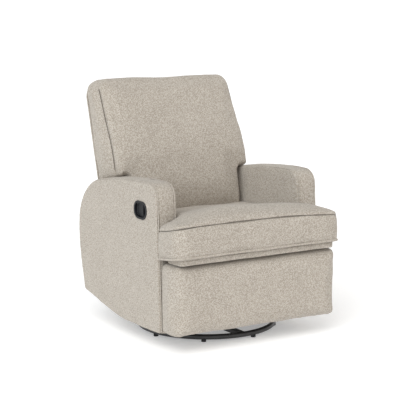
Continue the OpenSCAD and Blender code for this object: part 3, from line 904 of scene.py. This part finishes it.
def wing_floor():
    """Height along the back, for each depth, at which the wings clear the top of the arms."""
    top = arm_outline()
    top = top[(top[:, 1] > 0.43) & (top[:, 0] > -0.15)]
    top = top[np.argsort(top[:, 0])]
    depth = np.linspace(-0.14, 0.04, 25)
    clear = 2.5 * MM
    level = []
    for v in depth:
        w = np.linspace(0.15, 0.26, 221)
        p = in_back(0 * w, v + 0 * w, w)
        over = p[:, 2] - np.interp(p[:, 1], top[:, 0], top[:, 1])
        level.append(w[np.argmax(over > clear)])
    return depth, np.array(level)


WING_V, WING_W = wing_floor()


def wing_lift(u, v, w):
    """Shapes the underside of the wings to the top of the arms, and tilts the top edge a little."""
    part = smooth((np.abs(u) - BACK_LOW + 4 * MM) / 0.012) * smooth((0.30 - w) / 0.07)
    tilt = 5 * MM * u / BACK_WIDE * smooth((w - 0.35) / 0.29)
    return w + part * (np.interp(v, WING_V, WING_W) - BACK_STEP) - tilt


def make_back():
    thick, rear, edge = 0.110, 0.021, 0.020
    seam = thick - edge - 1 * MM
    pad = Pad(back_outline(1.5 * MM), 0.0, thick, 8 * MM, edge, seams=(seam,), step=5 * MM, grid=9 * MM)
    pad.band(4 * MM, 4 * MM, seam)
    # The seam runs out before the top edge.
    pad.groove(seam, 3.6 * MM, 1.9 * MM, lambda uv: smooth((BACK_LEN - 0.035 - uv[:, 1]) / 0.04))
    pad.crown(0.016, 0.0, 0.075)

    def place(u, w, t):
        v = rear + t / seam * (back_face(w) - rear)
        return in_back(u * (1 - BACK_TAPER * np.clip(t / seam, 0, 1)), v, wing_lift(u, v, w))

    return pad.make("back_cushion_cover", place), pad, place, seam


back, back_pad, back_place, back_seam = make_back()


def back_pin(co):
    """Holds the rear half of the cushion."""
    v = (co[:, 1] - PIVOT_Y) * math.cos(LEAN) - (co[:, 2] - PIVOT_Z) * math.sin(LEAN)
    return (v > -0.01).astype(float)


puff(back, 3.0, 5 * MM, pinned=back_pin)
lumps(back, [(3.0 * MM, 0.16, 8.3), (1.3 * MM, 0.05, 3.1), (0.5 * MM, 0.012, 4.4)])
dress(back, cloth, "back", "back_cushion")


# A dark cord in the front seam paints the seam's shadow along both sides of the cushion.
for side in (-1, 1):
    line = back_pad.outline + outward(back_pad.outline) * -2.6 * MM
    line = line[(line[:, 0] * side > 0.29) & (line[:, 1] > BACK_STEP + 0.03) & (line[:, 1] < BACK_LEN - 0.05)]
    line = line[np.argsort(line[:, 1])]
    path = back_place(line[:, 0], line[:, 1], np.full(len(line), back_seam))
    name = "back_seam_shadow_" + ("left" if side < 0 else "right")
    cord = tube(name, resample(path, CORD_STEP, closed=False), 1.4 * MM)
    dress(cord, seam_shadow_cloth, "back")

OUTSIDE_LEN = 0.626


def make_outside_back():
    """The thin padded panel behind the back's frame."""
    outline = back_outline(4 * MM, OUTSIDE_LEN)
    pad = Pad(outline, 0.0205, 0.0355, 2 * MM, 6 * MM, step=6 * MM, grid=12 * MM)
    pad.crown(2.5 * MM, 0.0, 0.05)
    return pad.make("outside_back_cover", lambda u, w, t: in_back(u, t, wing_lift(u, t, w)))


outside = make_outside_back()
lumps(outside, [(1.0 * MM, 0.1, 2.9)])
dress(outside, cloth, "back", "back_panel")
edge = back_outline(3 * MM, OUTSIDE_LEN)
edge_v = np.full(len(edge), 0.022)
edge_path = in_back(edge[:, 0], edge_v, wing_lift(edge[:, 0], edge_v, edge[:, 1]))
edge_cord = tube("outside_back_piping", resample(edge_path, CORD_STEP), 2.8 * MM, closed=True)
dress(edge_cord, welt_cloth, "back")

# ---------------------------------------------------------------- fixed rear cover and flap

rc_lo, rc_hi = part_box("rear_cover")


def make_rear():
    w, h = rc_hi.x - rc_lo.x, rc_hi.z - rc_lo.z
    cz = (rc_hi.z + rc_lo.z) / 2
    outline = resample(rounded(w - 1 * MM, h - 1 * MM, 0.008, 5), 6 * MM)
    pad = Pad(outline, 0.0, rc_hi.y - rc_lo.y, 2 * MM, 5 * MM, step=6 * MM, grid=12 * MM)
    pad.crown(2 * MM, 0.0, 0.05)
    return pad.make("rear_cover_fabric", lambda u, v, t: np.stack([-u, rc_lo.y + t, cz + v], 1))


rear = make_rear()
lumps(rear, [(1.0 * MM, 0.1, 2.9)])
dress(rear, cloth, "carriage", "rear_cover")

fl_lo, fl_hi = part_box("rear_flap")
FLAP_Y_LOW, FLAP_Y_HIGH = 0.3385, 0.3035


def make_flap():
    """Fabric that joins the fixed rear cover to the reclining back: two layers with closed edges."""
    xs = np.linspace(fl_lo.x, fl_hi.x, 90)
    rows, half = 16, 1.1 * MM
    a, b = np.array((FLAP_Y_LOW, fl_lo.z)), np.array((FLAP_Y_HIGH, fl_hi.z))
    verts = []
    for side in (0, 1):
        for k in range(rows):
            s = k / (rows - 1)
            c = a + (b - a) * s
            bow = 2.0 * MM * math.sin(math.pi * s)
            off = (half if side else -half) + bow
            for x in xs:
                fold = 1.2 * MM * noise.noise(Vector((x * 18, s * 1.2, 0.4))) * math.sin(math.pi * s)
                verts.append((x, c[0] + off + fold, c[1]))
    m, faces = len(xs), []
    for side in (0, 1):
        o = side * rows * m
        for k in range(rows - 1):
            for j in range(m - 1):
                f = (o + k * m + j, o + k * m + j + 1, o + (k + 1) * m + j + 1, o + (k + 1) * m + j)
                faces.append(f if side == 0 else f[::-1])
    o = rows * m
    for k in range(rows - 1):
        for j in (0, m - 1):
            f = (k * m + j, (k + 1) * m + j, o + (k + 1) * m + j, o + k * m + j)
            faces.append(f if j == 0 else f[::-1])
    for j in range(m - 1):
        for k in (0, rows - 1):
            f = (k * m + j, k * m + j + 1, o + k * m + j + 1, o + k * m + j)
            faces.append(f[::-1] if k == 0 else f)
    ob = mesh_object("rear_flap_fabric", verts, faces)
    face_outwards(ob)
    return ob


flap = make_flap()
dress(flap, cloth, None, "rear_flap")
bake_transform(flap)

# ---------------------------------------------------------------- stage

bpy.ops.mesh.primitive_plane_add(size=60, location=(0, 0, 0))
floor = bpy.context.object
floor.name = "floor"
paper, tree, shader, at = material("floor")
put(tree, shader.inputs["Base Color"], ramp(tree, cloud(tree, at, 3.0, 3.0), (0.3, (0.80,) * 3), (0.7, (0.815,) * 3)))
shader.inputs["Roughness"].default_value = 0.9
shader.inputs["Emission Color"].default_value = (1.0, 1.0, 1.0, 1)
shader.inputs["Emission Strength"].default_value = 0.32
floor.data.materials.append(paper)

# White near the horizon and dimmer above it.
world = bpy.data.worlds.new("studio")
scene.world = world
world.use_nodes = True
tree = world.node_tree
up = add(tree, "ShaderNodeSeparateXYZ", Vector=add(tree, "ShaderNodeTexCoord").outputs["Generated"]).outputs["Z"]
shell = tree.nodes["Background"]
shell.inputs["Color"].default_value = (1.0, 1.0, 1.0, 1)
fade = {"From_Min": 0.20, "From_Max": 0.50, "To_Min": 1.0, "To_Max": 0.36}
lit = add(tree, "ShaderNodeMapRange", {"interpolation_type": "SMOOTHSTEP"}, Value=up, **fade)
put(tree, shell.inputs["Strength"], lit.outputs[0])


def sun(name, toward, power, col):
    """A wide, distant studio light that shines from the direction given."""
    lamp = bpy.data.lights.new(name, "SUN")
    lamp.energy = power
    lamp.angle = 0.7
    lamp.color = col
    ob = bpy.data.objects.new(name, lamp)
    scene.collection.objects.link(ob)
    ob.rotation_euler = (-Vector(toward)).to_track_quat("-Z", "Y").to_euler()


sun("key", (-3.9, -2.2, 2.3), 1.02, (0.84, 0.935, 1.0))
sun("front_left", (-2.2, -4.0, 2.8), 0.55, (1.0, 0.96, 0.90))
sun("upper", (-1.6, -1.5, 2.6), 1.05, (1.0, 0.975, 0.945))
sun("top", (-1.0, -0.8, 3.6), 0.25, (0.86, 0.94, 1.0))
sun("right", (2.3, -4.0, 1.9), 0.18, (1.0, 0.86, 0.72))
sun("rear", (1.2, 4.0, 2.4), 0.24, (1.0, 0.98, 0.95))

# The camera stands PSI radians to the left of straight ahead and looks down by PITCH.
PSI, PITCH, YAW = 0.56, 0.176, 0.001
DISTANCE, HEIGHT = 6.612, 1.668
SENSOR_MM, LENS_MM = 36.0, 141.4817308
cam = bpy.data.objects.new("camera", bpy.data.cameras.new("camera"))
scene.collection.objects.link(cam)
cam.location = (-DISTANCE * math.sin(PSI), -DISTANCE * math.cos(PSI), HEIGHT)
heading = PSI + YAW
view = Vector((math.sin(heading) * math.cos(PITCH), math.cos(heading) * math.cos(PITCH), -math.sin(PITCH)))
cam.rotation_euler = view.to_track_quat("-Z", "Y").to_euler()
cam.data.sensor_width = SENSOR_MM
cam.data.lens = LENS_MM
cam.data.clip_end = 200
scene.camera = cam
scene.view_settings.view_transform = "Standard"
